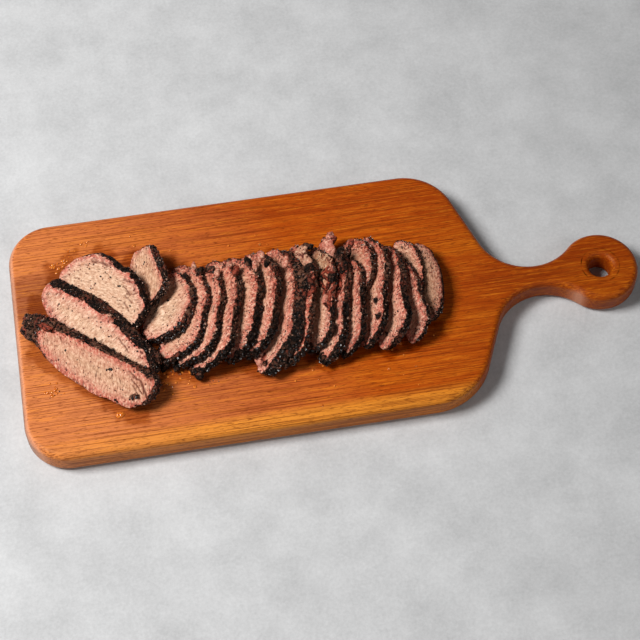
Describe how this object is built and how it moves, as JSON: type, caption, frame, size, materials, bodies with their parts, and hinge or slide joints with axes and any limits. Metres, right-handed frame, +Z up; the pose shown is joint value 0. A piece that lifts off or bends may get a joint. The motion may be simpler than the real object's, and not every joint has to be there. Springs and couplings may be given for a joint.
{
  "type": "sliced beef tri-tip on board",
  "caption": "Smoked beef roast cut into leaning slices with pink rims and dark peppered crust, laid in a row along a rounded wooden board with a ring handle.",
  "frame": {"origin": "centre of the board's underside (bottom centre of the whole box)", "axes": "+X along the board towards its handle, +Y across the board towards the far side, +Z up"},
  "size_m": [0.56, 0.237, 0.0569],
  "materials": {
    "oiled_hardwood": "oiled, satin",
    "smoked_beef": "moist cut faces, dark peppered crust",
    "dark_crust": "dry, crumbly",
    "meat_juice": "wet, clear brown"
  },
  "bodies": {
    "root": {"board": "oiled_hardwood", "slice_01": "smoked_beef", "slice_02": "smoked_beef", "slice_03": "smoked_beef", "slice_04": "smoked_beef", "slice_05": "smoked_beef", "slice_06": "smoked_beef", "slice_07": "smoked_beef", "slice_08": "smoked_beef", "slice_09": "smoked_beef", "slice_10": "smoked_beef", "slice_11": "smoked_beef", "slice_12": "smoked_beef", "slice_13": "smoked_beef", "slice_14": "smoked_beef", "slice_15": "smoked_beef", "slice_16": "smoked_beef", "slice_17": "smoked_beef", "slice_18": "smoked_beef", "slice_19": "smoked_beef", "slice_20": "smoked_beef", "slice_21": "smoked_beef"}
  },
  "joints": []
}
